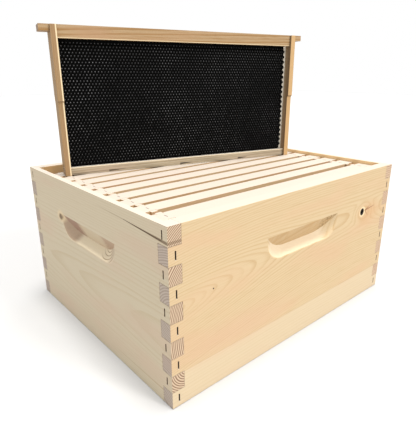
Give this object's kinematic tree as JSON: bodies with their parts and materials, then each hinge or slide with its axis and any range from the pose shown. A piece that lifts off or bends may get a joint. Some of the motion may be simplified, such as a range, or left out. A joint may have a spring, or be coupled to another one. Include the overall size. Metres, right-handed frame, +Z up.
{
  "type": "langstroth hive box",
  "caption": "Open wooden beehive box with finger-jointed corners and handholds, hung with frames of black foundation, and one more frame standing on top of them.",
  "frame": {"origin": "middle of the box's footprint, on the surface that it stands on", "axes": "+X along the long side boards and the frames, +Y from the front side board to the back side board, +Z up"},
  "size_m": [0.5048, 0.4128, 0.4704],
  "materials": {
    "box_pine": "planed, unfinished pine",
    "frame_wood": "planed, unfinished pine, darker and more yellow than the box",
    "foundation_plastic": "black, moulded with small hexagonal cells",
    "staple_steel": "dull galvanised wire"
  },
  "bodies": {
    "hive_box": {"front_side_board": "box_pine", "back_side_board": "box_pine", "left_end_board": "box_pine", "right_end_board": "box_pine"},
    "frame_01": {"frame_01_top_bar": "frame_wood", "frame_01_bottom_bar": "frame_wood", "frame_01_left_end_bar": "frame_wood", "frame_01_right_end_bar": "frame_wood", "frame_01_foundation": "foundation_plastic"},
    "frame_02": {"frame_02_top_bar": "frame_wood", "frame_02_bottom_bar": "frame_wood", "frame_02_left_end_bar": "frame_wood", "frame_02_right_end_bar": "frame_wood", "frame_02_foundation": "foundation_plastic"},
    "frame_03": {"frame_03_top_bar": "frame_wood", "frame_03_bottom_bar": "frame_wood", "frame_03_left_end_bar": "frame_wood", "frame_03_right_end_bar": "frame_wood", "frame_03_foundation": "foundation_plastic"},
    "frame_04": {"frame_04_top_bar": "frame_wood", "frame_04_bottom_bar": "frame_wood", "frame_04_left_end_bar": "frame_wood", "frame_04_right_end_bar": "frame_wood", "frame_04_foundation": "foundation_plastic"},
    "frame_05": {"frame_05_top_bar": "frame_wood", "frame_05_bottom_bar": "frame_wood", "frame_05_left_end_bar": "frame_wood", "frame_05_right_end_bar": "frame_wood", "frame_05_foundation": "foundation_plastic"},
    "frame_06": {"frame_06_top_bar": "frame_wood", "frame_06_bottom_bar": "frame_wood", "frame_06_left_end_bar": "frame_wood", "frame_06_right_end_bar": "frame_wood", "frame_06_foundation": "foundation_plastic"},
    "frame_07": {"frame_07_top_bar": "frame_wood", "frame_07_bottom_bar": "frame_wood", "frame_07_left_end_bar": "frame_wood", "frame_07_right_end_bar": "frame_wood", "frame_07_foundation": "foundation_plastic"},
    "frame_08": {"frame_08_top_bar": "frame_wood", "frame_08_bottom_bar": "frame_wood", "frame_08_left_end_bar": "frame_wood", "frame_08_right_end_bar": "frame_wood", "frame_08_foundation": "foundation_plastic"},
    "frame_09": {"frame_09_top_bar": "frame_wood", "frame_09_bottom_bar": "frame_wood", "frame_09_left_end_bar": "frame_wood", "frame_09_right_end_bar": "frame_wood", "frame_09_foundation": "foundation_plastic"},
    "standing_frame": {"standing_frame_top_bar": "frame_wood", "standing_frame_bottom_bar": "frame_wood", "standing_frame_left_end_bar": "frame_wood", "standing_frame_right_end_bar": "frame_wood", "standing_frame_foundation": "foundation_plastic"}
  },
  "joints": [
    {"name": "frame_01_lift", "type": "slide", "parent": "hive_box", "child": "frame_01", "axis": [0, 0, 1], "range_m": [0, 0.25]},
    {"name": "frame_02_lift", "type": "slide", "parent": "hive_box", "child": "frame_02", "axis": [0, 0, 1], "range_m": [0, 0.25]},
    {"name": "frame_03_lift", "type": "slide", "parent": "hive_box", "child": "frame_03", "axis": [0, 0, 1], "range_m": [0, 0.25]},
    {"name": "frame_04_lift", "type": "slide", "parent": "hive_box", "child": "frame_04", "axis": [0, 0, 1], "range_m": [0, 0.25]},
    {"name": "frame_09_slide", "type": "slide", "parent": "hive_box", "child": "frame_09", "axis": [0, 1, 0], "range_m": [-0.0023, 0.0349]},
    {"name": "frame_05_slide", "type": "slide", "parent": "hive_box", "child": "frame_05", "axis": [0, 1, 0], "range_m": [-0.0023, 0.0349]},
    {"name": "frame_06_slide", "type": "slide", "parent": "hive_box", "child": "frame_06", "axis": [0, 1, 0], "range_m": [-0.0023, 0.0349]},
    {"name": "frame_07_slide", "type": "slide", "parent": "hive_box", "child": "frame_07", "axis": [0, 1, 0], "range_m": [-0.0023, 0.0349]},
    {"name": "frame_08_slide", "type": "slide", "parent": "hive_box", "child": "frame_08", "axis": [0, 1, 0], "range_m": [-0.0023, 0.0349]},
    {"name": "standing_frame_lift", "type": "slide", "parent": "hive_box", "child": "standing_frame", "axis": [0, 0, 1], "range_m": [0, 0.3]}
  ],
  "couplings": [
    {"joint": "frame_05_slide", "follows": "frame_09_slide", "ratio": 1},
    {"joint": "frame_06_slide", "follows": "frame_09_slide", "ratio": 1},
    {"joint": "frame_07_slide", "follows": "frame_09_slide", "ratio": 1},
    {"joint": "frame_08_slide", "follows": "frame_09_slide", "ratio": 1}
  ]
}
